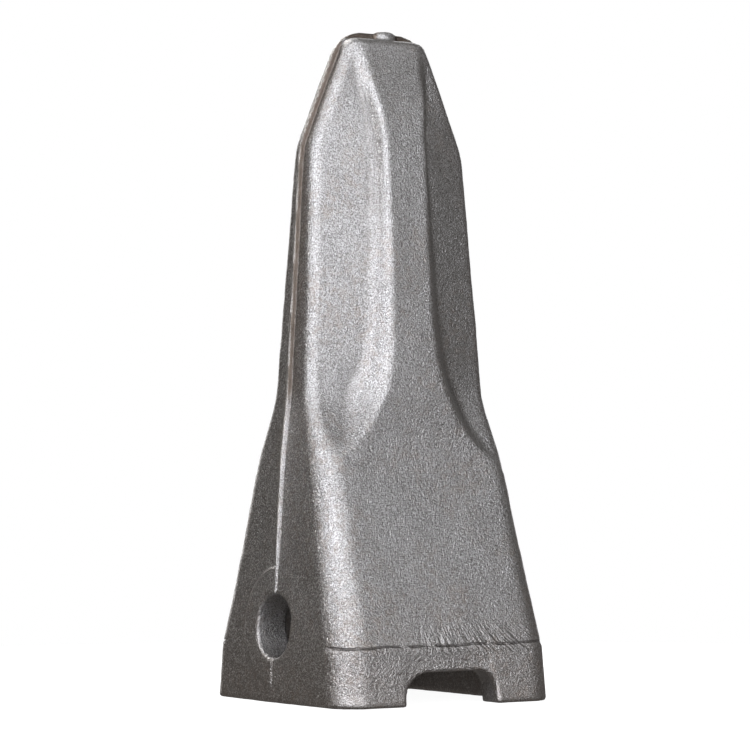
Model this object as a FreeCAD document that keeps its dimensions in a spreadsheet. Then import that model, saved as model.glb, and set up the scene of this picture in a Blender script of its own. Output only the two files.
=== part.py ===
"""Excavator bucket tooth with its split retaining pin.

The tooth stands on its open rear rim: +Z runs from the rim to the tip, X is
across the tooth (the pin's direction) and Y is its thickness. The origin is the
middle of the rim. The tooth is symmetric left to right and front to back.
The pin is two steel halves with a rubber layer bonded between them. It is
shown part way out of the tooth, on its way through the +X ear.
All lengths are millimetres.
"""
import FreeCAD, Part
import os
import Sketcher

doc = FreeCAD.newDocument("bucket_tooth")
sheet = doc.addObject("Spreadsheet::Sheet", "sizes")

SIZES = {
    # hollow nose socket
    "socket_mouth_width": 75.0, "socket_mouth_depth": 82.0,
    "socket_neck_height": 23.0, "socket_neck_width": 72.6, "socket_neck_depth": 77.0,
    "socket_throat_height": 93.0, "socket_throat_width": 70.0, "socket_throat_depth": 34.0,
    "socket_end_height": 106.0, "socket_end_width": 62.0, "socket_end_depth": 25.0,
    "socket_corner": 6.0,
    # pin bore and the flat boss round it
    "bore_height": 29.8, "bore_radius": 12.5, "bore_rim_chamfer": 1.2,
    "boss_radius": 23.0, "boss_half_span": 50.1, "bore_tool_reach": 60.0,
    # notch in the front and back rear edge
    "notch_width": 42.0, "notch_height": 13.0, "notch_corner_radius": 7.0,
    # parting-line flash and the nub on the tip
    "flash_thickness": 2.4, "flash_start_height": 5.0,
    "flash_low_proud": 0.8, "flash_proud": 1.6, "flash_tip_proud": 2.8,
    "nub_radius": 4.5, "nub_offset": 2.0, "nub_height": 3.9, "nub_root": 1.0,
    # split retaining pin
    "pin_radius": 12.4, "pin_length": 96.0, "pin_end_chamfer": 2.0, "pin_shift": 14.0,
    "rubber_thickness": 5.0, "rubber_width": 22.4, "rubber_end_gap": 1.0, "rubber_wave": 1.2,
    "wave_flat": 9.0, "wave_ramp": 12.0,
}

# Outer cross-sections of the forging, from the rim to the tip. Each is given for
# one quarter, from the parting line round to the middle of the broad face:
#   height        of the section above the rim
#   side          half-width at the parting line
#   edge, depth   half-width and half-depth of the corner between side and broad face
#   bevel         size of that corner's bevel
#   foot, floor   half-width and half-depth of the scallop's floor beside the rib
#   rib, crest    half-width and half-depth of the centre rib's top
COLUMNS = ("height", "side", "edge", "depth", "bevel", "foot", "floor", "rib", "crest")
SECTIONS = {
    "rim": (0.0, 51.1, 49.8, 51.8, 7.6, 38.0, 52.1, 28.0, 52.3),
    "band": (23.0, 50.2, 49.5, 49.3, 7.4, 38.0, 49.6, 28.0, 49.8),
    "shoulder": (97.0, 44.8, 44.5, 27.0, 5.5, 38.5, 27.2, 33.0, 27.6),
    "scoop": (111.0, 43.1, 42.9, 18.3, 3.5, 27.9, 18.9, 21.4, 27.4),
    "root": (120.0, 42.2, 42.0, 13.9, 2.5, 24.5, 15.8, 16.4, 27.6),
    "throat": (135.0, 41.2, 41.0, 12.8, 2.0, 18.6, 17.2, 11.8, 26.7),
    "blade": (166.0, 39.4, 39.2, 10.9, 2.0, 14.5, 17.0, 10.3, 23.8),
    "heel": (220.0, 36.3, 36.2, 7.8, 2.0, 12.6, 13.6, 9.8, 20.5),
    "taper": (236.0, 29.7, 29.5, 7.9, 2.0, 13.6, 11.1, 11.1, 17.6),
    "nose": (249.0, 24.4, 24.2, 7.9, 2.0, 15.0, 8.8, 12.7, 12.7),
    "tip": (265.0, 17.8, 17.7, 7.8, 2.0, 13.4, 7.8, 11.0, 7.8),
}


class Size:
    """A length: its number, and the expression over the sheet that it comes from."""

    def __init__(self, number, text=None):
        self.number = float(number)
        self.text = text or repr(self.number)

    def __add__(self, other):
        other = as_size(other)
        return Size(self.number + other.number, "(%s + %s)" % (self.text, other.text))

    def __sub__(self, other):
        other = as_size(other)
        return Size(self.number - other.number, "(%s - %s)" % (self.text, other.text))

    def __mul__(self, other):
        other = as_size(other)
        return Size(self.number * other.number, "%s * %s" % (self.text, other.text))

    def __rmul__(self, other):
        return as_size(other) * self

    def __truediv__(self, other):
        other = as_size(other)
        return Size(self.number / other.number, "%s / %s" % (self.text, other.text))

    def __neg__(self):
        return Size(-self.number, "(0 - %s)" % self.text)


def as_size(number):
    """A Size as it is, or a plain number made into one."""
    return number if isinstance(number, Size) else Size(number)


ZERO = Size(0)
NAMED = {}


def add_size(alias, number):
    """Put one named dimension on the sheet."""
    row = len(NAMED) + 1
    sheet.set("A%d" % row, alias)
    sheet.set("B%d" % row, str(number))
    sheet.setAlias("B%d" % row, alias)
    NAMED[alias] = Size(number, sheet.Name + "." + alias)


for alias, number in SIZES.items():
    add_size(alias, number)
for section, numbers in SECTIONS.items():
    for column, number in zip(COLUMNS, numbers):
        add_size(section + "_" + column, number)
doc.recompute()


def size(alias):
    """The named dimension."""
    return NAMED[alias]


def origin_plane(body, role):
    """The body's own origin plane, such as XY_Plane."""
    for feature in body.Origin.OriginFeatures:
        if feature.Role == role:
            return feature


def new_sketch(body, name, role, offset_axis=None, offset=None):
    """A sketch on an origin plane of the body, moved along one of its own axes."""
    sketch = body.newObject("Sketcher::SketchObject", name)
    sketch.AttachmentSupport = [(origin_plane(body, role), "")]
    sketch.MapMode = "FlatFace"
    if offset_axis:
        sketch.setExpression("AttachmentOffset.Base." + offset_axis, offset.text)
    doc.recompute()
    return sketch


def hold(sketch, direction, geometry, point, distance):
    """Hold a point of the sketch at a distance from the sketch's origin."""
    if distance is ZERO:
        axis = {"DistanceX": -2, "DistanceY": -1}[direction]
        sketch.addConstraint(Sketcher.Constraint("PointOnObject", geometry, point, axis))
        return
    constraint = Sketcher.Constraint(direction, -1, 1, geometry, point, distance.number)
    index = sketch.addConstraint(constraint)
    sketch.setExpression("Constraints[%d]" % index, distance.text)


def polygon(sketch, corners):
    """A closed outline through the corners, each held to the sheet."""
    places = [FreeCAD.Vector(x.number, y.number, 0) for x, y in corners]
    count = len(corners)
    for i in range(count):
        sketch.addGeometry(Part.LineSegment(places[i], places[(i + 1) % count]), False)
    for i in range(count):
        sketch.addConstraint(Sketcher.Constraint("Coincident", i, 2, (i + 1) % count, 1))
    for i, (x, y) in enumerate(corners):
        hold(sketch, "DistanceX", i, 1, x)
        hold(sketch, "DistanceY", i, 1, y)
    doc.recompute()
    return sketch


def circle(sketch, x, y, radius):
    """A circle whose centre and radius are held to the sheet."""
    centre = FreeCAD.Vector(x.number, y.number, 0)
    up = FreeCAD.Vector(0, 0, 1)
    sketch.addGeometry(Part.Circle(centre, up, radius.number), False)
    hold(sketch, "DistanceX", 0, 3, x)
    hold(sketch, "DistanceY", 0, 3, y)
    index = sketch.addConstraint(Sketcher.Constraint("Radius", 0, radius.number))
    sketch.setExpression("Constraints[%d]" % index, radius.text)
    doc.recompute()
    return sketch


def mirrored(distance):
    """The same distance on the other side of the origin."""
    return ZERO if distance is ZERO else -distance


def four_quarters(quarter):
    """The whole outline from the corners of its +X +Y quarter, in turn."""
    turned = [(mirrored(x), y) for x, y in reversed(quarter) if x is not ZERO]
    half = quarter + turned
    lower = [(x, mirrored(y)) for x, y in reversed(half) if y is not ZERO]
    return half + lower


def pad_or_pocket(body, kind, name, sketch, length):
    """A Pad or a Pocket of the sketch, the same way to both sides of its plane."""
    feature = body.newObject("PartDesign::" + kind, name)
    feature.Profile = sketch
    feature.SideType = "Symmetric"
    feature.setExpression("Length", length.text)
    doc.recompute()
    return feature


def turned_bar(body, kind, name, profile):
    """A Revolution or a Groove of the profile round the sketch's horizontal axis."""
    feature = body.newObject("PartDesign::" + kind, name)
    feature.Profile = profile
    feature.ReferenceAxis = (profile, ["H_Axis"])
    feature.Angle = 360
    doc.recompute()
    return feature


def ruled_loft(body, kind, name, sketches):
    """A loft with straight sides from one section to the next."""
    loft = body.newObject("PartDesign::" + kind, name)
    loft.Profile = sketches[0]
    loft.Sections = sketches[1:]
    loft.Ruled = True
    doc.recompute()
    return loft


def forging_section(body, name):
    """One outer cross-section of the forging."""
    height, side, edge, depth, bevel, foot, floor, rib, crest = (
        size(name + "_" + column) for column in COLUMNS
    )
    draft = (side - edge) * bevel / depth
    quarter = [
        (side, ZERO),
        (edge + draft, depth - bevel),
        (edge - bevel, depth),
        (foot, floor),
        (rib, crest),
    ]
    sketch = new_sketch(body, "section_" + name, "XY_Plane", "z", height)
    return polygon(sketch, four_quarters(quarter))


def socket_section(body, name, height):
    """One cross-section of the socket: a rectangle with bevelled corners."""
    half_width = size("socket_%s_width" % name) / 2
    half_depth = size("socket_%s_depth" % name) / 2
    corner = size("socket_corner")
    quarter = [(half_width, half_depth - corner), (half_width - corner, half_depth)]
    sketch = new_sketch(body, "socket_" + name, "XY_Plane", "z", height)
    return polygon(sketch, four_quarters(quarter))


def flash_outline(body):
    """The plate whose outer rim is the flash along the parting line and over the tip."""
    low_proud = size("flash_low_proud")
    proud = size("flash_proud")
    tip_proud = size("flash_tip_proud")
    side = [(size("rim_side") + low_proud, size("flash_start_height"))]
    for section in list(SECTIONS)[1:]:
        stands_out = low_proud if section in ("band", "shoulder") else proud
        side.append((size(section + "_side") + stands_out, size(section + "_height")))
    side.append((size("tip_side") - tip_proud, size("tip_height") + tip_proud))
    outline = side + [(mirrored(x), z) for x, z in reversed(side)]
    return polygon(new_sketch(body, "flash_outline", "XZ_Plane"), outline)


def bore_profile(body):
    """Half-section of the pin bore through both ears, flared at its outer rims."""
    radius = size("bore_radius")
    reach = size("bore_tool_reach")
    rim = size("boss_half_span") - size("bore_rim_chamfer")
    flare = radius + (reach - rim)
    sketch = new_sketch(body, "bore_profile", "XZ_Plane", "y", size("bore_height"))
    return polygon(sketch, [
        (mirrored(reach), ZERO),
        (reach, ZERO),
        (reach, flare),
        (rim, radius),
        (mirrored(rim), radius),
        (mirrored(reach), flare),
    ])


def rectangle(half_width, half_height):
    """The corners of a rectangle round the sketch's origin."""
    return [
        (mirrored(half_width), mirrored(half_height)),
        (half_width, mirrored(half_height)),
        (half_width, half_height),
        (mirrored(half_width), half_height),
    ]


def notch_corners(feature):
    """The upper edges of the rear notches, which run along Y."""
    near = 0.001
    height = size("notch_height").number
    half_width = size("notch_width").number / 2
    names = []
    for i, edge in enumerate(feature.Shape.Edges):
        ends = [vertex.Point for vertex in edge.Vertexes]
        at_corner = len(ends) == 2 and all(
            abs(end.z - height) < near and abs(abs(end.x) - half_width) < near for end in ends
        )
        if at_corner and abs(ends[0].y - ends[1].y) > 1.0:
            names.append("Edge%d" % (i + 1))
    return names


def build_tooth():
    """The forged tooth point."""
    body = doc.addObject("PartDesign::Body", "tooth_point")
    ruled_loft(body, "AdditiveLoft", "forging", [forging_section(body, name) for name in SECTIONS])

    boss_sketch = new_sketch(body, "boss_outline", "YZ_Plane")
    circle(boss_sketch, ZERO, size("bore_height"), size("boss_radius"))
    pad_or_pocket(body, "Pad", "pin_bosses", boss_sketch, 2 * size("boss_half_span"))
    pad_or_pocket(body, "Pad", "parting_flash", flash_outline(body), size("flash_thickness"))

    nub_base = size("tip_height") - size("nub_root")
    nub_sketch = new_sketch(body, "nub_outline", "XY_Plane", "z", nub_base)
    circle(nub_sketch, size("nub_offset"), ZERO, size("nub_radius"))
    nub = body.newObject("PartDesign::Pad", "tip_nub")
    nub.Profile = nub_sketch
    nub.setExpression("Length", (size("nub_height") + size("nub_root")).text)
    doc.recompute()

    hollow = [
        socket_section(body, "mouth", ZERO),
        socket_section(body, "neck", size("socket_neck_height")),
        socket_section(body, "throat", size("socket_throat_height")),
        socket_section(body, "end", size("socket_end_height")),
    ]
    ruled_loft(body, "SubtractiveLoft", "nose_socket", hollow)

    notch_sketch = new_sketch(body, "notch_outline", "XZ_Plane")
    polygon(notch_sketch, rectangle(size("notch_width") / 2, size("notch_height")))
    notch = pad_or_pocket(body, "Pocket", "rear_notches", notch_sketch, 3 * size("rim_crest"))
    rounding = body.newObject("PartDesign::Fillet", "notch_corner_rounds")
    rounding.Base = (notch, notch_corners(notch))
    rounding.setExpression("Radius", size("notch_corner_radius").text)
    doc.recompute()

    turned_bar(body, "Groove", "pin_bore", bore_profile(body))
    return body


def split_line(offset):
    """The wavy line that parts the pin's halves, as corners from -X to +X."""
    inner = size("wave_ramp") / 2
    middle = inner + size("wave_flat")
    outer = middle + size("wave_ramp")
    ends = size("pin_length") / 2 + size("pin_radius")
    up = offset + size("rubber_wave")
    down = offset - size("rubber_wave")
    return [
        (mirrored(ends), up), (mirrored(outer), up), (mirrored(middle), down),
        (mirrored(inner), down), (inner, up), (middle, up), (outer, down), (ends, down),
    ]


def place_pin_piece(body):
    """Put a piece of the pin on the bore's axis, shifted towards +X."""
    body.setExpression("Placement.Base.x", size("pin_shift").text)
    body.setExpression("Placement.Base.z", size("bore_height").text)
    doc.recompute()


def build_pin_half(name, side):
    """One steel half of the pin; side is 1 for the upper half and -1 for the lower."""
    body = doc.addObject("PartDesign::Body", name)
    half_length = size("pin_length") / 2
    radius = size("pin_radius")
    chamfer = size("pin_end_chamfer")
    profile = polygon(new_sketch(body, name + "_profile", "XZ_Plane"), [
        (mirrored(half_length), ZERO),
        (half_length, ZERO),
        (half_length, radius - chamfer),
        (half_length - chamfer, radius),
        (chamfer - half_length, radius),
        (mirrored(half_length), radius - chamfer),
    ])
    turned_bar(body, "Revolution", name + "_bar", profile)

    parting = split_line(side * size("rubber_thickness") / 2)
    away = -1.5 * side * radius
    corners = parting + [(parting[-1][0], away), (parting[0][0], away)]
    cutter = polygon(new_sketch(body, name + "_split", "XZ_Plane"), corners)
    pad_or_pocket(body, "Pocket", name + "_cut", cutter, 3 * radius)
    place_pin_piece(body)
    return body


def build_rubber_core():
    """The rubber layer between the halves, a little narrower and shorter than the steel."""
    body = doc.addObject("PartDesign::Body", "pin_rubber_core")
    reach = size("pin_length") / 2 - size("rubber_end_gap")
    half_thickness = size("rubber_thickness") / 2
    top = split_line(half_thickness)
    bottom = split_line(-half_thickness)
    for line in (top, bottom):
        line[0] = (mirrored(reach), line[0][1])
        line[-1] = (reach, line[-1][1])
    outline = bottom + list(reversed(top))
    sketch = polygon(new_sketch(body, "rubber_outline", "XZ_Plane"), outline)
    pad_or_pocket(body, "Pad", "rubber_layer", sketch, size("rubber_width"))
    place_pin_piece(body)
    return body


pieces = [
    build_tooth(),
    build_pin_half("pin_half_upper", 1),
    build_pin_half("pin_half_lower", -1),
    build_rubber_core(),
]
doc.recompute()

for item in doc.Objects:
    if "Invalid" in item.State or "Error" in item.State:
        raise RuntimeError("%s did not build: %s" % (item.Label, item.State))
for piece in pieces:
    if piece.Shape.isNull() or not piece.Shape.isValid():
        raise RuntimeError(piece.Label + " has no valid shape")

os.makedirs("parts", exist_ok=True)
for piece in pieces:
    piece.Shape.exportStep("parts/%s.step" % piece.Label)
    box = piece.Shape.BoundBox
    print("%-16s %d solid, %.0f mm3  X %.1f..%.1f  Y %.1f..%.1f  Z %.1f..%.1f" % (
        piece.Label, len(piece.Shape.Solids), piece.Shape.Volume,
        box.XMin, box.XMax, box.YMin, box.YMax, box.ZMin, box.ZMax))
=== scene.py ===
"""Looks of the excavator bucket tooth and its split retaining pin.

The tooth is one forging, so it is drawn as one skin. Its shape is a signed
distance field in millimetres, in the CAD frame: +Z from the rear rim to the
tip, X across the tooth along the pin, Y through its thickness. The field is
meshed, its points are pulled onto the surface, and the forging's own lumps are
added to the mesh before the steel goes on. The steel's finish holds the grain,
the lip round the boss, and the crease and wrinkles over the rear band, with a
painted highlight on the lip and painted shade in the crease, the hollows, the
socket and next to the flash, and a painted highlight along the flash ridge.
"""
import math

import bmesh
import bpy
import numpy as np
from mathutils import Matrix, Vector, noise


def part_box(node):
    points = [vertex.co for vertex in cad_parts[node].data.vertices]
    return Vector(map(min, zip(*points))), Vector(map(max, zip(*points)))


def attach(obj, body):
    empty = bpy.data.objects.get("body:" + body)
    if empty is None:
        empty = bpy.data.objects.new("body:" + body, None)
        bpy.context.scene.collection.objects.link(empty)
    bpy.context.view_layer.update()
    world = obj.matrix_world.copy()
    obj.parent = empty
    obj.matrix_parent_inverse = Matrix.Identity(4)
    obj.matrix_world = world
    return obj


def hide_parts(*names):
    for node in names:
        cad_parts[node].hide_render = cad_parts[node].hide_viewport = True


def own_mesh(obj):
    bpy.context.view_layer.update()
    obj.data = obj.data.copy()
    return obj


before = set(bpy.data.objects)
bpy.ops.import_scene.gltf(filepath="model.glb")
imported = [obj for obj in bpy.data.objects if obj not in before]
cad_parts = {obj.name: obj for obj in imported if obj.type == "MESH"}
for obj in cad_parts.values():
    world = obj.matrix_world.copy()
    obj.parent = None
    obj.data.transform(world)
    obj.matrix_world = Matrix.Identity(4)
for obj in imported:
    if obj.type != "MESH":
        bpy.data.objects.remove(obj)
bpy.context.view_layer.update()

MM = 0.001

tip_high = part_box("tooth_point")[1]
pin_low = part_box("pin_half_lower")[0]
pin_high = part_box("pin_half_upper")[1]

# ---------------------------------------------------------------- sizes, mm
TOP = tip_high.z / MM - 3.9             # end of the blade, under the nub
BORE_HEIGHT = (pin_low.z + pin_high.z) / 2 / MM
BORE_RADIUS = (pin_high.z - pin_low.z) / 2 / MM + 0.1
BORE_RIM_ROUND = 0.3
BOSS_RADIUS = 23.0
BOSS_PROUD = 0.55

BLOCK_DEPTH = 49.8                      # half-depth of the block at BLOCK_FOOT, and its taper
BLOCK_FOOT = 23.0
BLOCK_TAPER = 0.304
RIM_DEPTH = 52.3                        # half-depth of the band at the rim, and its taper
RIM_TAPER = 0.109
BAND_HEIGHT = 22.6
BAND_STEP = 0.5
NOTCH_HALF_WIDTH = 21.0
NOTCH_HEIGHT = 13.0
NOTCH_LEFT_ROUND = 11.0
NOTCH_RIGHT_ROUND = 7.0
RELIEF_LEFT = 21.5
RELIEF_RIGHT = 19.0
RELIEF_HEIGHT = 19.3
RELIEF_DEPTH = 0.4

FLASH_START = 5.0
NUB_OFFSET = 2.0
NUB_RADIUS = 5.0
NUB_PROUD = 3.8

# (height, value) pairs; in between, the value runs straight and is then softened
SIDE = [(0, 51.1), (23, 50.2), (97, 44.8), (120, 42.2), (220, 36.2), (TOP, 17.8), (TOP + 20, 8.8)]
EDGE = [(0, 49.9), (23, 49.5), (97, 44.5), (120, 42.1), (220, 36.4), (TOP, 17.7), (TOP + 20, 8.7)]
FLOOR = [(57, 51.0), (97, 26.6), (111, 18.4), (121, 13.6), (166, 10.9), (220, 7.7),
         (249, 7.9), (TOP, 7.8)]
CREST = [(90, 27.2), (124, 27.6), (150, 24.9), (190, 22.4), (221, 20.5), (238, 17.2),
         (259, 8.9), (TOP, 7.8), (TOP + 20, 5.0)]
RIB = [(80, 62.0), (90, 44.0), (97, 34.4), (103, 27.4), (111, 21.4), (118.5, 17.0), (125, 14.2),
       (135, 11.9), (150, 10.8), (179, 10.0), (205, 9.8), (219, 9.8), (228, 10.1), (237, 11.4),
       (243, 12.4), (249, 12.9), (262, 15.0), (TOP + 20, 21.0)]
FLANK_SLOPE = [(80, 1.0), (97, 1.2), (122, 1.35), (150, 1.5), (179, 1.75), (205, 2.2), (219, 2.5),
               (240, 2.6), (250, 1.7), (TOP, 0.9)]
FLOOR_TILT = [(90, 0.0), (112, 0.05), (125, 0.15), (140, 0.23), (160, 0.25), (220, 0.25),
              (237, 0.2), (243, 0.15), (250, 0.09), (TOP, 0.0)]
CORNER_ROUND = [(0, 13.0), (60, 12.0), (93, 10.0), (106, 6.5), (118, 4.6), (130, 4.0), (TOP, 3.6)]
FLASH_PROUD = [(FLASH_START, 0.0), (FLASH_START + 3, 0.9), (44, 0.8), (56, 1.3), (100, 1.9),
               (250, 1.9), (TOP - 4, 2.1), (TOP, 2.8)]
FLASH_HALF = [(0, 0.45), (44, 0.5), (60, 0.8), (100, 1.1), (TOP, 1.2)]

SOCKET_HALF_WIDTH = [(-30, 37.5), (0, 37.5), (23, 36.3), (93, 35.0), (106, 31.0), (140, 22.0)]
SOCKET_HALF_DEPTH = [(-30, 41.0), (0, 41.0), (23, 38.5), (93, 17.0), (106, 12.5), (140, 4.0)]
SOCKET_END = 106.0
SOCKET_CORNER = 6.0


# ---------------------------------------------------------------- field
def along(knots, soften):
    """A function of height that follows the knots, softened over a length in mm."""
    step = 0.25
    z = np.arange(-30.0, 300.0, step)
    heights, values = zip(*knots)
    line = np.interp(z, heights, values)
    if soften:
        reach = np.arange(-3 * soften, 3 * soften + step, step)
        weight = np.exp(-0.5 * (reach / soften) ** 2)
        weight /= weight.sum()
        half = len(reach) // 2
        line = np.convolve(np.pad(line, half, mode="edge"), weight, "same")[half:-half]
    return lambda at: np.interp(at, z, line)


side_at = along(SIDE, 3.0)
edge_at = along(EDGE, 3.0)
floor_at = along(FLOOR, 3.5)
crest_at = along(CREST, 4.5)
rib_at = along(RIB, 2.5)
slope_at = along(FLANK_SLOPE, 3.0)
corner_at = along(CORNER_ROUND, 2.0)
proud_at = along(FLASH_PROUD, 1.0)
flash_half_at = along(FLASH_HALF, 3.0)
tilt_at = along(FLOOR_TILT, 4.0)
socket_width_at = along(SOCKET_HALF_WIDTH, 2.0)
socket_depth_at = along(SOCKET_HALF_DEPTH, 2.0)


def soft_min(a, b, r):
    """The smaller of two, blended where they differ by less than r."""
    t = np.clip(0.5 + 0.5 * (b - a) / r, 0.0, 1.0)
    return b * (1 - t) + a * t - r * t * (1 - t)


def soft_max(a, b, r):
    """The larger of two, blended where they differ by less than r."""
    return -soft_min(-a, -b, r)


def both(a, b, r):
    """The part inside both distances, with edges rounded to radius r."""
    outside = np.hypot(np.maximum(a + r, 0), np.maximum(b + r, 0))
    return np.minimum(-r, np.maximum(a, b)) + outside


def smooth_step(x, low, high):
    """0 below low and 1 above high, smooth in between."""
    t = np.clip((x - low) / (high - low), 0.0, 1.0)
    return t * t * (3 - 2 * t)


def face_depth(ax, z):
    """Half-depth of the broad face at a distance ax from the middle."""
    block = BLOCK_DEPTH - BLOCK_TAPER * (z - BLOCK_FOOT)
    band = RIM_DEPTH - RIM_TAPER * z
    body = soft_min(block, band, 0.7)
    body = body + BAND_STEP * (1 - smooth_step(z, BAND_HEIGHT - 0.6, BAND_HEIGHT + 0.5))
    crest = soft_max(body, crest_at(z), 3.5)
    floor = floor_at(z) + tilt_at(z) * (edge_at(z) - ax)
    flank = crest + (rib_at(z) - ax) * slope_at(z)
    return soft_min(crest, soft_max(floor, flank, 3.5), 3.5)


def outer_field(x, y, z):
    """Distance to the forging's outside, without its holes."""
    ax, ay = np.abs(x), np.abs(y)
    depth = face_depth(ax, z)
    step = 0.5
    lean_x = (face_depth(ax + step, z) - face_depth(np.abs(ax - step), z)) / (2 * step)
    lean_z = (face_depth(ax, z + step) - face_depth(ax, z - step)) / (2 * step)
    face = (ay - depth) / np.sqrt(1 + lean_x ** 2 + lean_z ** 2)
    draft = (edge_at(z) - side_at(z)) * np.clip(ay / floor_or_face(z), 0, 1)
    taper = (side_at(z + step) - side_at(z - step)) / (2 * step)
    round_the_bore = np.hypot(y, z - BORE_HEIGHT)
    boss = BOSS_PROUD * (1 - smooth_step(round_the_bore, BOSS_RADIUS - 1.0, BOSS_RADIUS + 0.6))
    boss = boss * (0.25 + 0.75 * smooth_step(y, -4.0, 4.0))
    side = (ax - side_at(z) - draft - boss) / np.sqrt(1 + taper ** 2)
    shape = both(face, side, corner_at(z))
    return both(shape, z - TOP, 3.2)


def floor_or_face(z):
    """Half-depth of the corner between the side and the broad face."""
    return np.minimum(floor_at(z), face_depth(0.0, z))


def flash_field(x, y, z):
    """The flash plate along the parting line and over the tip, with its nub."""
    ax = np.abs(x)
    taper = (side_at(z + 0.5) - side_at(z - 0.5))
    outline = both((ax - side_at(z)) / np.sqrt(1 + taper ** 2), z - TOP, 7.0)
    plate = both(outline - proud_at(z), np.abs(y) - flash_half_at(z), 0.4)
    nub_side = np.hypot(x - NUB_OFFSET, y * 1.25) - NUB_RADIUS
    nub = both(nub_side, z - (TOP + NUB_PROUD), 2.2)
    nub = np.maximum(nub, TOP - 4.0 - z)
    return soft_min(plate, nub, 1.0)


def socket_field(x, y, z):
    """The hollow that the adapter's nose goes into."""
    wall = both(
        np.abs(x) - socket_width_at(z),
        (np.abs(y) - socket_depth_at(z)) * 0.965,
        SOCKET_CORNER,
    )
    return both(wall, z - SOCKET_END, 5.0)


def notch_field(x, z):
    """The gap in the front and back rear edges."""
    left = both(-x - NOTCH_HALF_WIDTH, z - NOTCH_HEIGHT, NOTCH_LEFT_ROUND)
    right = both(x - NOTCH_HALF_WIDTH, z - NOTCH_HEIGHT, NOTCH_RIGHT_ROUND)
    return np.where(x < 0, left, right)


def relief_depth(x, z):
    """Depth of the trimmed step round the notch on the outside faces."""
    slant = 0.55 * np.maximum(z - NOTCH_HEIGHT, 0)
    left = both(-x - RELIEF_LEFT + slant, z - RELIEF_HEIGHT, 1.5)
    right = both(x - RELIEF_RIGHT, z - RELIEF_HEIGHT, 1.5)
    return RELIEF_DEPTH * (1 - smooth_step(np.where(x < 0, left, right), -0.6, 0.4))


def tooth_field(x, y, z):
    """Distance to the finished tooth."""
    shape = outer_field(x, y, z)
    near_face = smooth_step(np.abs(y), 30.0, 34.0)
    shape = shape + relief_depth(x, z) * near_face
    shape = soft_min(shape, flash_field(x, y, z), 0.5)
    shape = both(shape, -socket_field(x, y, z), 1.0)
    shape = both(shape, -z, 1.2)
    shape = both(shape, -notch_field(x, z), 0.7)
    bore = np.hypot(y, z - BORE_HEIGHT) - BORE_RADIUS
    return both(shape, -bore, BORE_RIM_ROUND)


# ---------------------------------------------------------------- meshing
CORNERS = np.array([(i, j, k) for i in (0, 1) for j in (0, 1) for k in (0, 1)])
CELL_EDGES = [(a, b) for a in range(8) for b in range(a + 1, 8)
              if np.abs(CORNERS[a] - CORNERS[b]).sum() == 1]


def mesh_field(field, xs, ys, zs):
    """Points and four-sided faces of the field's zero surface, one point to a grid cell."""
    axes = (xs, ys, zs)
    f = field(xs[:, None, None], ys[None, :, None], zs[None, None, :])
    inside = f < 0
    count = np.zeros([n - 1 for n in f.shape], np.int8)
    for i, j, k in CORNERS:
        count += inside[i:i + count.shape[0], j:j + count.shape[1], k:k + count.shape[2]]
    cells = np.argwhere((count > 0) & (count < 8))
    number = np.full(count.shape, -1)
    number[tuple(cells.T)] = np.arange(len(cells))

    nodes = cells[:, None, :] + CORNERS[None]
    value = f[nodes[..., 0], nodes[..., 1], nodes[..., 2]]
    place = np.stack([axes[d][nodes[..., d]] for d in range(3)], axis=-1)
    total = np.zeros((len(cells), 3))
    hits = np.zeros((len(cells), 1))
    for a, b in CELL_EDGES:
        crossed = (value[:, a] < 0) != (value[:, b] < 0)
        share = value[crossed, a] / (value[crossed, a] - value[crossed, b])
        total[crossed] += place[crossed, a] + share[:, None] * (place[crossed, b] - place[crossed, a])
        hits[crossed] += 1
    points = total / hits

    quads = []
    for axis in range(3):
        u, v = (axis + 1) % 3, (axis + 2) % 3
        low = inside.take(range(inside.shape[axis] - 1), axis)
        high = inside.take(range(1, inside.shape[axis]), axis)
        edges = np.argwhere(low != high)
        outward = low[tuple(edges.T)]
        ring = []
        for du, dv in ((1, 1), (0, 1), (0, 0), (1, 0)):
            cell = edges.copy()
            cell[:, u] -= du
            cell[:, v] -= dv
            ring.append(number[tuple(cell.T)])
        ring = np.stack(ring, axis=1)
        ring[~outward] = ring[~outward][:, ::-1]
        quads.append(ring)
    return points, np.concatenate(quads)


def slope_of(field, p, reach=0.05):
    """The field's gradient at the points."""
    grad = np.empty_like(p)
    for d in range(3):
        a, b = p.copy(), p.copy()
        a[:, d] += reach
        b[:, d] -= reach
        grad[:, d] = (field(*a.T) - field(*b.T)) / (2 * reach)
    return grad


def pull_on(field, p, steps, limit=0.6):
    """Move points onto the field's zero surface."""
    for _ in range(steps):
        grad = slope_of(field, p)
        size = np.maximum((grad ** 2).sum(1), 0.04)
        move = (field(*p.T) / size)[:, None] * grad
        length = np.linalg.norm(move, axis=1, keepdims=True)
        p = p - move * np.minimum(1.0, limit / np.maximum(length, 1e-9))
    return p


def links(quads, count):
    """Both ends of every edge, and how many edges each point has."""
    pairs = np.concatenate([quads[:, [i, (i + 1) % 4]] for i in range(4)])
    pairs = np.unique(np.sort(pairs, axis=1), axis=0)
    a = np.concatenate([pairs[:, 0], pairs[:, 1]])
    b = np.concatenate([pairs[:, 1], pairs[:, 0]])
    return a, b, np.bincount(a, minlength=count)


def neighbour_mean(values, a, b, degree):
    """The mean of each point's neighbours."""
    if values.ndim == 1:
        return np.bincount(a, values[b], minlength=len(degree)) / degree
    return np.stack([neighbour_mean(values[:, d], a, b, degree) for d in range(values.shape[1])], 1)


def spacing(limit, coarse, fine, fine_half):
    """Grid lines from -limit to limit, closer together near the middle."""
    inner = np.arange(fine / 2, fine_half, fine)
    outer = np.arange(inner[-1] + (fine + coarse) / 2, limit + coarse, coarse)
    half = np.concatenate([inner, outer])
    return np.concatenate([-half[::-1], half])


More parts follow.
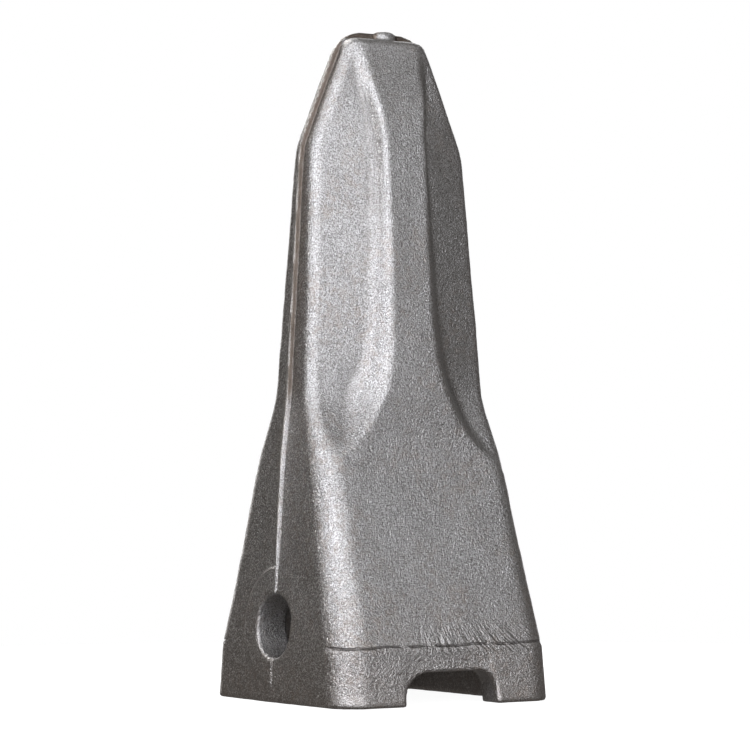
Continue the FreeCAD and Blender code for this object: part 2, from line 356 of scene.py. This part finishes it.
def lumps(p, size, seed):
    """Smooth noise at the points, from about -1 to 1, with lumps of a size in mm."""
    shift = Vector((seed * 17.3, seed * 9.1, seed * 5.7))
    scaled = p / size
    return np.array([noise.noise(Vector(q) + shift) for q in scaled])


def forged_skin(p, normal):
    """How far each point of the skin stands out of the smooth shape, in mm."""
    x, y, z = p.T
    outside = smooth_step(outer_field(x, y, z), -1.6, -0.6)
    on_flash = smooth_step(np.abs(y), 1.8, 0.8)
    low = 0.20 * lumps(p, 22.0, 1) + 0.13 * lumps(p, 9.0, 2)
    peel = 0.085 * lumps(p, 3.6, 3)
    rough = 0.6 + 0.7 * smooth_step(lumps(p, 40.0, 4), -0.5, 0.5)
    on_band = smooth_step(z, BAND_HEIGHT + 1, BAND_HEIGHT - 1) * smooth_step(z, 3.0, 8.0)
    front = smooth_step(np.abs(normal[:, 1]), 0.75, 0.95)
    skin = low + peel * rough * (1 + 0.9 * on_band * front)
    return outside * skin * (1 - 0.6 * on_flash) + (1 - outside) * 0.12 * lumps(p, 5.0, 7)


def add_mesh(name, points, faces, attributes=None):
    """A smooth-shaded object from points in mm."""
    mesh = bpy.data.meshes.new(name)
    mesh.vertices.add(len(points))
    mesh.vertices.foreach_set("co", (np.asarray(points) * MM).astype(np.float32).ravel())
    faces = np.asarray(faces)
    mesh.loops.add(faces.size)
    mesh.loops.foreach_set("vertex_index", faces.astype(np.int32).ravel())
    mesh.polygons.add(len(faces))
    mesh.polygons.foreach_set("loop_start", np.arange(0, faces.size, faces.shape[1], dtype=np.int32))
    for key, values in (attributes or {}).items():
        layer = mesh.attributes.new(key, "FLOAT", "POINT")
        layer.data.foreach_set("value", np.asarray(values, np.float32))
    mesh.update(calc_edges=True)
    mesh.validate()
    mesh.shade_smooth()
    obj = bpy.data.objects.new(name, mesh)
    bpy.context.scene.collection.objects.link(obj)
    return obj


def build_tooth():
    """The forging's skin, with masks that the steel reads."""
    cell = 1.22
    xs = spacing(56.0, cell, cell, cell * 3)
    ys = spacing(57.0, cell, cell * 0.4, 2.4)
    zs = np.arange(-2.0, TOP + 7.0, cell)
    points, quads = mesh_field(tooth_field, xs, ys, zs)
    a, b, degree = links(quads, len(points))
    points = pull_on(tooth_field, points, 2)
    for _ in range(2):
        points += 0.5 * (neighbour_mean(points, a, b, degree) - points)
        points = pull_on(tooth_field, points, 2)
    normal = slope_of(tooth_field, points)
    normal /= np.maximum(np.linalg.norm(normal, axis=1, keepdims=True), 1e-9)

    bulge = ((points - neighbour_mean(points, a, b, degree)) * normal).sum(1)
    for _ in range(6):
        bulge = 0.5 * bulge + 0.5 * neighbour_mean(bulge, a, b, degree)
    x, y, z = points.T
    outline = np.abs(x) - side_at(z)
    # a thin band along the middle of the flash ridge; the steel paints a highlight on it
    flash_ridge_highlight = smooth_step(np.abs(y), flash_half_at(z) * 0.85, flash_half_at(z) * 0.45)
    flash_ridge_highlight = flash_ridge_highlight * smooth_step(np.maximum(outline, z - TOP), 0.2, 0.9)
    # the strips next to the flash ridge on the blade; the steel paints shade on them
    beside = smooth_step(np.maximum(outline, z - TOP), -0.3, 0.3) * (1 - flash_ridge_highlight)
    beside = beside * smooth_step(np.abs(y), 2.6, 1.6)
    off_bore = np.abs(np.hypot(y, z - BORE_HEIGHT) - BORE_RADIUS)
    # faces well inside the outer shape, the socket and notch walls but not the bore; the steel paints shade
    # on them and makes them rougher
    inside = smooth_step(outer_field(x, y, z), -1.8, -4.0) * smooth_step(off_bore, 0.5, 1.5)
    across = np.abs(normal[:, 0])
    blade = smooth_step(z, 112.0, 124.0)
    band = smooth_step(z, BAND_HEIGHT + 1.0, BAND_HEIGHT - 1.0) * smooth_step(x, 25.0, -15.0)
    peel = 0.62 - 0.22 * blade + 0.38 * band * smooth_step(across, 0.8, 0.4)
    peel = peel * (0.75 + 0.5 * smooth_step(lumps(points, 30.0, 8), -0.4, 0.4))
    peel = peel * smooth_step(z, 1.0, 8.0) * (1 - 0.5 * smooth_step(across, 0.8, 0.95))
    masks = {
        "peel": np.clip(peel, 0.0, 1.0),
        "drawn": smooth_step(across, 0.8, 0.95),
        # hollow: concave places such as the rib foot and the crease; the steel paints shade into them
        "hollow": smooth_step(-bulge, 0.006, 0.06),
        "flash_ridge_highlight": flash_ridge_highlight,
        "edge": np.clip(beside * blade, 0.0, 1.0),
        "inside": inside,
    }
    points = points + normal * forged_skin(points, normal)[:, None]
    points[:, 2] = np.maximum(points[:, 2], 0.0)
    print("tooth skin: %d points, %d faces" % (len(points), 2 * len(quads)))
    return add_mesh("forged_tooth_point", points, quads, masks)


# ---------------------------------------------------------------- materials
class Nodes:
    """A short way to write a material's node tree."""

    def __init__(self, name):
        self.material = bpy.data.materials.new(name)
        self.material.use_nodes = True
        self.tree = self.material.node_tree
        self.shader = self.tree.nodes["Principled BSDF"]
        self.place = self.add("ShaderNodeTexCoord").outputs["Object"]

    def add(self, kind, **settings):
        node = self.tree.nodes.new(kind)
        for key, setting in settings.items():
            setattr(node, key, setting)
        return node

    def link(self, output, target):
        self.tree.links.new(output, target)

    def feed(self, socket, value):
        """Link a socket to an output, or give it a plain value."""
        if isinstance(value, bpy.types.NodeSocket):
            self.link(value, socket)
        else:
            socket.default_value = value

    def noise(self, size_mm, detail=3.0, roughness=0.5, stretch=(1, 1, 1), distortion=0.0, at=None):
        mapping = self.add("ShaderNodeMapping")
        self.link(at or self.place, mapping.inputs["Vector"])
        mapping.inputs["Scale"].default_value = stretch
        node = self.add("ShaderNodeTexNoise")
        self.link(mapping.outputs["Vector"], node.inputs["Vector"])
        node.inputs["Scale"].default_value = 1.0 / (size_mm * MM)
        node.inputs["Detail"].default_value = detail
        node.inputs["Roughness"].default_value = roughness
        node.inputs["Distortion"].default_value = distortion
        return node.outputs["Fac"]

    def ramp(self, value, low, high, start=0.0, end=1.0):
        node = self.add("ShaderNodeMapRange", interpolation_type="SMOOTHSTEP")
        self.feed(node.inputs["Value"], value)
        node.inputs["From Min"].default_value = low
        node.inputs["From Max"].default_value = high
        node.inputs["To Min"].default_value = start
        node.inputs["To Max"].default_value = end
        return node.outputs["Result"]

    def math(self, operation, a, b=0.0):
        node = self.add("ShaderNodeMath", operation=operation)
        self.feed(node.inputs[0], a)
        self.feed(node.inputs[1], b)
        return node.outputs["Value"]

    def mask(self, name):
        return self.add("ShaderNodeAttribute", attribute_name=name).outputs["Fac"]

    def mix(self, factor, a, b):
        node = self.add("ShaderNodeMix", data_type="RGBA")
        self.feed(node.inputs["Factor"], factor)
        self.feed(node.inputs["A"], a)
        self.feed(node.inputs["B"], b)
        return node.outputs["Result"]

    def bump(self, height, distance_mm, strength=1.0, before=None):
        node = self.add("ShaderNodeBump")
        self.feed(node.inputs["Height"], height)
        node.inputs["Distance"].default_value = distance_mm * MM
        self.feed(node.inputs["Strength"], strength)
        if before is not None:
            self.link(before, node.inputs["Normal"])
        return node.outputs["Normal"]


def boss_lip(n, x, y, z):
    """Where the lip round the boss runs, on the back half of each ear."""
    across = n.math("SUBTRACT", z, BORE_HEIGHT * MM)
    squares = n.math("ADD", n.math("MULTIPLY", y, y), n.math("MULTIPLY", across, across))
    off_lip = n.math("SUBTRACT", n.math("SQRT", squares), BOSS_RADIUS * MM)
    lip = n.ramp(n.math("ABSOLUTE", off_lip), 0.0008, 0.0001)
    lip = n.math("MULTIPLY", lip, n.ramp(n.math("ABSOLUTE", x), 0.045, 0.047))
    back_half = n.math("MULTIPLY", n.ramp(y, -0.001, 0.004), n.ramp(z, 0.018, 0.028))
    return n.math("MULTIPLY", lip, back_half)


def band_crease(n, above, broad):
    """Where the broken crease over the rear band runs, on both broad faces."""
    # the steel both bumps this line and paints shade along it
    crease_and_shade = n.ramp(n.math("ABSOLUTE", above), 0.0006, 0.0001)
    crease_and_shade = n.math("MULTIPLY", crease_and_shade, broad)
    return n.math("MULTIPLY", crease_and_shade, n.ramp(n.noise(5.0), 0.3, 0.55))


def stretched_patch(n, x, above, broad):
    """The patch of pulled skin over the crease."""
    patch = n.math("MULTIPLY", n.ramp(above, -0.0045, -0.002), n.ramp(above, 0.0085, 0.0065))
    patch = n.math("MULTIPLY", patch, n.ramp(x, -0.020, -0.002))
    patch = n.math("MULTIPLY", patch, n.ramp(x, 0.043, 0.036))
    return n.math("MULTIPLY", patch, broad)


def fanned_wrinkles(n, x, y, z):
    """Long wrinkles that lean further over toward +X."""
    lean = n.math("MULTIPLY", n.math("ADD", x, 0.012), 24.0)
    slid = n.math("ADD", x, n.math("MULTIPLY", lean, n.math("SUBTRACT", z, 0.030)))
    folded = n.add("ShaderNodeCombineXYZ")
    n.link(slid, folded.inputs["X"])
    n.link(n.math("MULTIPLY", y, 0.2), folded.inputs["Y"])
    n.link(n.math("MULTIPLY", z, 0.13), folded.inputs["Z"])
    return n.noise(1.5, detail=2.0, at=folded.outputs["Vector"])


def steel_grain(n, speck, stains, z):
    """The steel's grey grain, coarser on the drawn sides, with brown patches."""
    patches = n.noise(26.0, detail=5.0, roughness=0.6)
    flecks = n.noise(0.7, detail=3.0, roughness=0.7, distortion=0.6)
    grey = n.mix(n.ramp(speck, 0.36, 0.64), (0.25, 0.243, 0.237, 1), (0.61, 0.61, 0.62, 1))
    dark = n.math("MULTIPLY", n.mask("drawn"), n.ramp(flecks, 0.56, 0.44))
    grey = n.mix(n.math("MULTIPLY", dark, 0.75), grey, (0.22, 0.2, 0.18, 1))
    light = n.math("MULTIPLY", n.mask("drawn"), n.ramp(flecks, 0.53, 0.62))
    grey = n.mix(n.math("MULTIPLY", light, 0.75), grey, (0.96, 0.93, 0.89, 1))
    low_down = n.ramp(z, 0.05, -0.005)
    brown = n.math("MULTIPLY", n.ramp(stains, 0.42, 0.66), n.ramp(patches, 0.42, 0.62))
    brown = n.math("ADD", n.math("MULTIPLY", brown, 0.35), n.math("MULTIPLY", low_down, 0.25))
    return n.mix(brown, grey, (0.34, 0.28, 0.235, 1))


def forged_steel():
    """As-forged, shot-blasted steel: grey, grainy, half glossy, with brown patches."""
    n = Nodes("forged_steel")
    n.shader.inputs["Metallic"].default_value = 0.95
    place = n.add("ShaderNodeSeparateXYZ")
    n.link(n.place, place.inputs["Vector"])
    x, y, z = (place.outputs[axis] for axis in "XYZ")
    speck = n.noise(0.55, detail=2.0, roughness=0.7)
    worm = n.noise(1.15, detail=2.5, roughness=0.55, distortion=1.0)
    stains = n.noise(3.0, detail=3.0, roughness=0.6)
    drawn = n.noise(0.8, detail=3.0, stretch=(1, 1, 0.15))

    broad = n.ramp(n.math("ABSOLUTE", y), 0.036, 0.042)
    waver = n.math("MULTIPLY", n.math("SUBTRACT", n.noise(14.0, detail=3.0), 0.5), 0.0022)
    above = n.math("SUBTRACT", n.math("ADD", z, waver), (BAND_HEIGHT + 0.5) * MM)
    lip = boss_lip(n, x, y, z)
    crease_and_shade = band_crease(n, above, broad)
    tints = (
        # painted shade in the hollows
        (n.mask("hollow"), 0.5, (0.16, 0.15, 0.14, 1)),
        # painted highlight along the flash ridge
        (n.mask("flash_ridge_highlight"), 0.4, (0.6, 0.57, 0.53, 1)),
        # painted shade on the strips next to the flash ridge
        (n.mask("edge"), 0.9, (0.11, 0.085, 0.065, 1)),
        # painted shade inside the socket and notch
        (n.mask("inside"), 0.45, (0.2, 0.195, 0.2, 1)),
        # painted highlight along the lip round the boss, which also gets a bump
        (lip, 0.45, (0.75, 0.71, 0.67, 1)),
        # painted shade along the crease over the rear band, which also gets a bump
        (crease_and_shade, 0.65, (0.1, 0.09, 0.085, 1)),
    )
    colour = steel_grain(n, speck, stains, z)
    for where, share, tint in tints:
        colour = n.mix(n.math("MULTIPLY", where, share), colour, tint)
    n.link(colour, n.shader.inputs["Base Color"])

    dull_inside = n.math("MULTIPLY", n.mask("inside"), 0.15)
    dull = n.math("ADD", n.ramp(stains, 0.3, 0.7, 0.28, 0.38), dull_inside)
    n.link(dull, n.shader.inputs["Roughness"])

    normal = n.bump(worm, 0.8, n.mask("peel"))
    normal = n.bump(drawn, 0.22, n.mask("drawn"), normal)
    normal = n.bump(fanned_wrinkles(n, x, y, z), 1.3, stretched_patch(n, x, above, broad), normal)
    normal = n.bump(n.math("SUBTRACT", lip, crease_and_shade), 0.5, 1.0, normal)
    normal = n.bump(speck, 0.3, 1.0, normal)
    n.link(normal, n.shader.inputs["Normal"])
    return n.material


def pin_steel():
    """Heat-treated bar steel: dark, drawn along its length."""
    n = Nodes("pin_steel")
    n.shader.inputs["Metallic"].default_value = 0.9
    drawn = n.noise(1.2, detail=4.0, stretch=(0.06, 1, 1))
    scale = n.noise(9.0, detail=5.0, roughness=0.6)
    colour = n.mix(n.ramp(drawn, 0.35, 0.65), (0.16, 0.16, 0.17, 1), (0.26, 0.26, 0.27, 1))
    colour = n.mix(n.ramp(scale, 0.5, 0.68, 0.0, 0.6), colour, (0.17, 0.13, 0.11, 1))
    n.link(colour, n.shader.inputs["Base Color"])
    n.link(n.ramp(drawn, 0.3, 0.7, 0.34, 0.48), n.shader.inputs["Roughness"])
    n.link(n.bump(drawn, 0.06, 0.5, n.bump(scale, 0.1, 0.4)), n.shader.inputs["Normal"])
    return n.material


def pin_rubber():
    """Moulded black rubber, bonded to the steel."""
    n = Nodes("pin_rubber")
    speckle = n.noise(0.8, detail=3.0)
    bloom = n.noise(7.0, detail=3.0)
    colour = n.mix(n.ramp(bloom, 0.4, 0.65), (0.022, 0.022, 0.022, 1), (0.05, 0.049, 0.047, 1))
    n.link(colour, n.shader.inputs["Base Color"])
    n.link(n.ramp(speckle, 0.3, 0.7, 0.6, 0.78), n.shader.inputs["Roughness"])
    n.link(n.bump(speckle, 0.08, 0.6), n.shader.inputs["Normal"])
    return n.material


def give(obj, material):
    """Put one material on an object."""
    obj.data.materials.clear()
    obj.data.materials.append(material)


# ---------------------------------------------------------------- pin
def build_rubber_core():
    """The bonded rubber layer: wavy along the pin, its free sides drawn in a little."""
    low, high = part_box("pin_rubber_core")
    length = (high.x - low.x) / MM
    half_width = (high.y - low.y) / 2 / MM
    centre = Vector((low + high) / 2) / MM
    wave = 1.2
    thickness = (high.z - low.z) / MM - 2 * wave
    flat, ramp = 9.0, 12.0
    stops = [0.5 * ramp, 0.5 * ramp + flat, 1.5 * ramp + flat]
    xs = [-length / 2, -stops[2], -stops[1], -stops[0], stops[0], stops[1], stops[2], length / 2]
    zs = [wave, wave, -wave, -wave, wave, wave, -wave, -wave]
    stations = np.linspace(-length / 2, length / 2, 95)
    middle = np.interp(stations, xs, zs)
    turns = np.linspace(0, 2 * math.pi, 40, endpoint=False)
    ring_y = np.sign(np.cos(turns)) * np.abs(np.cos(turns)) ** 0.25
    ring_z = np.sign(np.sin(turns)) * np.abs(np.sin(turns)) ** 0.25
    half = thickness / 2 - 0.02
    points = []
    for x, z in zip(stations, middle):
        end = 1 - 0.12 * math.exp(-(length / 2 - abs(x)) / 0.8)
        for ry, rz in zip(ring_y, ring_z):
            points.append((centre.x + x, ry * half_width * end, centre.z + z + rz * half))
    count = len(turns)
    faces = []
    for i in range(len(stations) - 1):
        for k in range(count):
            nxt = (k + 1) % count
            faces.append((i * count + k, i * count + nxt, (i + 1) * count + nxt, (i + 1) * count + k))
    obj = add_mesh("rubber_layer", points, faces)
    mesh = obj.data
    bm = bmesh.new()
    bm.from_mesh(mesh)
    loops = [e for e in bm.edges if e.is_boundary]
    bmesh.ops.holes_fill(bm, edges=loops, sides=0)
    bmesh.ops.recalc_face_normals(bm, faces=bm.faces)
    bm.to_mesh(mesh)
    bm.free()
    return obj, centre.z - thickness / 2


# ---------------------------------------------------------------- stage
CAMERA_TURNS = (32.22, 2.416, 0.145)    # yaw, pitch and roll in degrees
CAMERA_DISTANCE = 1.1681
CAMERA_LENS = 138.9
CAMERA_AIM = (-0.0020, -0.00276)        # right of and above the tooth's middle, metres
TABLE_RADIUS = 0.45
ROOM_GREY = (0.153, 0.142, 0.134, 1)    # what the steel reflects where no light is
LIGHT_DISTANCE = 1.6
COOL = (0.955, 0.962, 1.0)
WHITE = (1.0, 1.0, 1.0)
# name, azimuth (0 in front at -Y, 90 at -X) and elevation in degrees, width and height in
# metres, power in watts, colour
STUDIO_LIGHTS = [
    ("front_low_box", 5, 5, 0.56, 0.65, 6.6, COOL),
    ("front_high_box", 5, 28, 0.50, 0.65, 4.3, COOL),
    ("upper_right_box", -45, 52, 0.55, 0.65, 1.2, WHITE),
    ("upper_left_box", 45, 52, 0.55, 0.65, 2.6, WHITE),
    ("left_low_box", 32, 5, 1.00, 0.65, 7.0, COOL),
    ("left_box", 66, 26, 0.66, 0.65, 17.0, COOL),
    ("top_box", 170, 52, 0.55, 0.65, 12.0, WHITE),
    ("back_box", 207, 16, 1.40, 1.30, 13.0, WHITE),
]


def area_light(name, azimuth, elevation, width, height, power, colour):
    """A soft box that looks at the middle of the tooth."""
    light = bpy.data.lights.new(name, "AREA")
    light.shape = "RECTANGLE"
    light.size = width
    light.size_y = height
    light.energy = power
    light.color = colour
    obj = bpy.data.objects.new(name, light)
    bpy.context.scene.collection.objects.link(obj)
    a, e = math.radians(azimuth), math.radians(elevation)
    away = Vector((-math.sin(a) * math.cos(e), -math.cos(a) * math.cos(e), math.sin(e)))
    obj.location = Vector((0, 0, TOP / 2 * MM)) + away * LIGHT_DISTANCE
    obj.rotation_euler = (-away).to_track_quat("-Z", "Y").to_euler()


def build_camera():
    """A long lens from the front left, a little above the rim, looking slightly up."""
    yaw, pitch, roll = (math.radians(a) for a in CAMERA_TURNS)
    forward = Vector((math.sin(yaw) * math.cos(pitch), math.cos(yaw) * math.cos(pitch), math.sin(pitch)))
    right = Vector((math.cos(yaw), -math.sin(yaw), 0))
    up = right.cross(forward)
    target = Vector((0, 0, TOP / 2 * MM)) + right * CAMERA_AIM[0] + up * CAMERA_AIM[1]
    data = bpy.data.cameras.new("camera")
    data.sensor_width = 36.0
    data.lens = CAMERA_LENS
    data.clip_start, data.clip_end = 0.05, 50.0
    camera = bpy.data.objects.new("camera", data)
    bpy.context.scene.collection.objects.link(camera)
    turned = Matrix.Rotation(roll, 3, forward)
    axes = Matrix((turned @ right, turned @ up, -(turned @ forward))).transposed()
    camera.matrix_world = Matrix.Translation(target - forward * CAMERA_DISTANCE) @ axes.to_4x4()
    bpy.context.scene.camera = camera


def build_stage():
    """A round white table, lit from inside, in a white room."""
    bpy.ops.mesh.primitive_circle_add(vertices=96, radius=TABLE_RADIUS, fill_type="NGON", location=(0, 0, 0))
    floor = bpy.context.object
    floor.name = "floor"
    n = Nodes("floor")
    n.shader.inputs["Base Color"].default_value = (0.3, 0.3, 0.3, 1)
    n.shader.inputs["Roughness"].default_value = 0.9
    n.shader.inputs["Specular IOR Level"].default_value = 0.1
    n.shader.inputs["Emission Color"].default_value = (1, 1, 1, 1)
    n.shader.inputs["Emission Strength"].default_value = 0.95
    give(floor, n.material)
    floor.visible_glossy = False
    floor.visible_diffuse = False
    world = bpy.data.worlds.new("studio")
    world.use_nodes = True
    tree = world.node_tree
    background = tree.nodes["Background"]
    seen = tree.nodes.new("ShaderNodeLightPath")
    colour = tree.nodes.new("ShaderNodeMix")
    colour.data_type = "RGBA"
    colour.inputs["A"].default_value = ROOM_GREY
    colour.inputs["B"].default_value = (1, 1, 1, 1)
    tree.links.new(seen.outputs["Is Camera Ray"], colour.inputs["Factor"])
    tree.links.new(colour.outputs["Result"], background.inputs["Color"])
    bpy.context.scene.world = world
    bpy.context.scene.view_settings.view_transform = "Standard"


# ---------------------------------------------------------------- make it
build_camera()
build_stage()
for light in STUDIO_LIGHTS:
    area_light(*light)

steel = forged_steel()
tooth = build_tooth()
give(tooth, steel)
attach(tooth, "tooth")
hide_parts("tooth_point")

bar_steel = pin_steel()
for half in ("pin_half_upper", "pin_half_lower"):
    give(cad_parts[half], bar_steel)

rubber, rubber_base = build_rubber_core()
give(rubber, pin_rubber())
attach(rubber, "pin")
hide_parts("pin_rubber_core")
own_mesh(rubber)
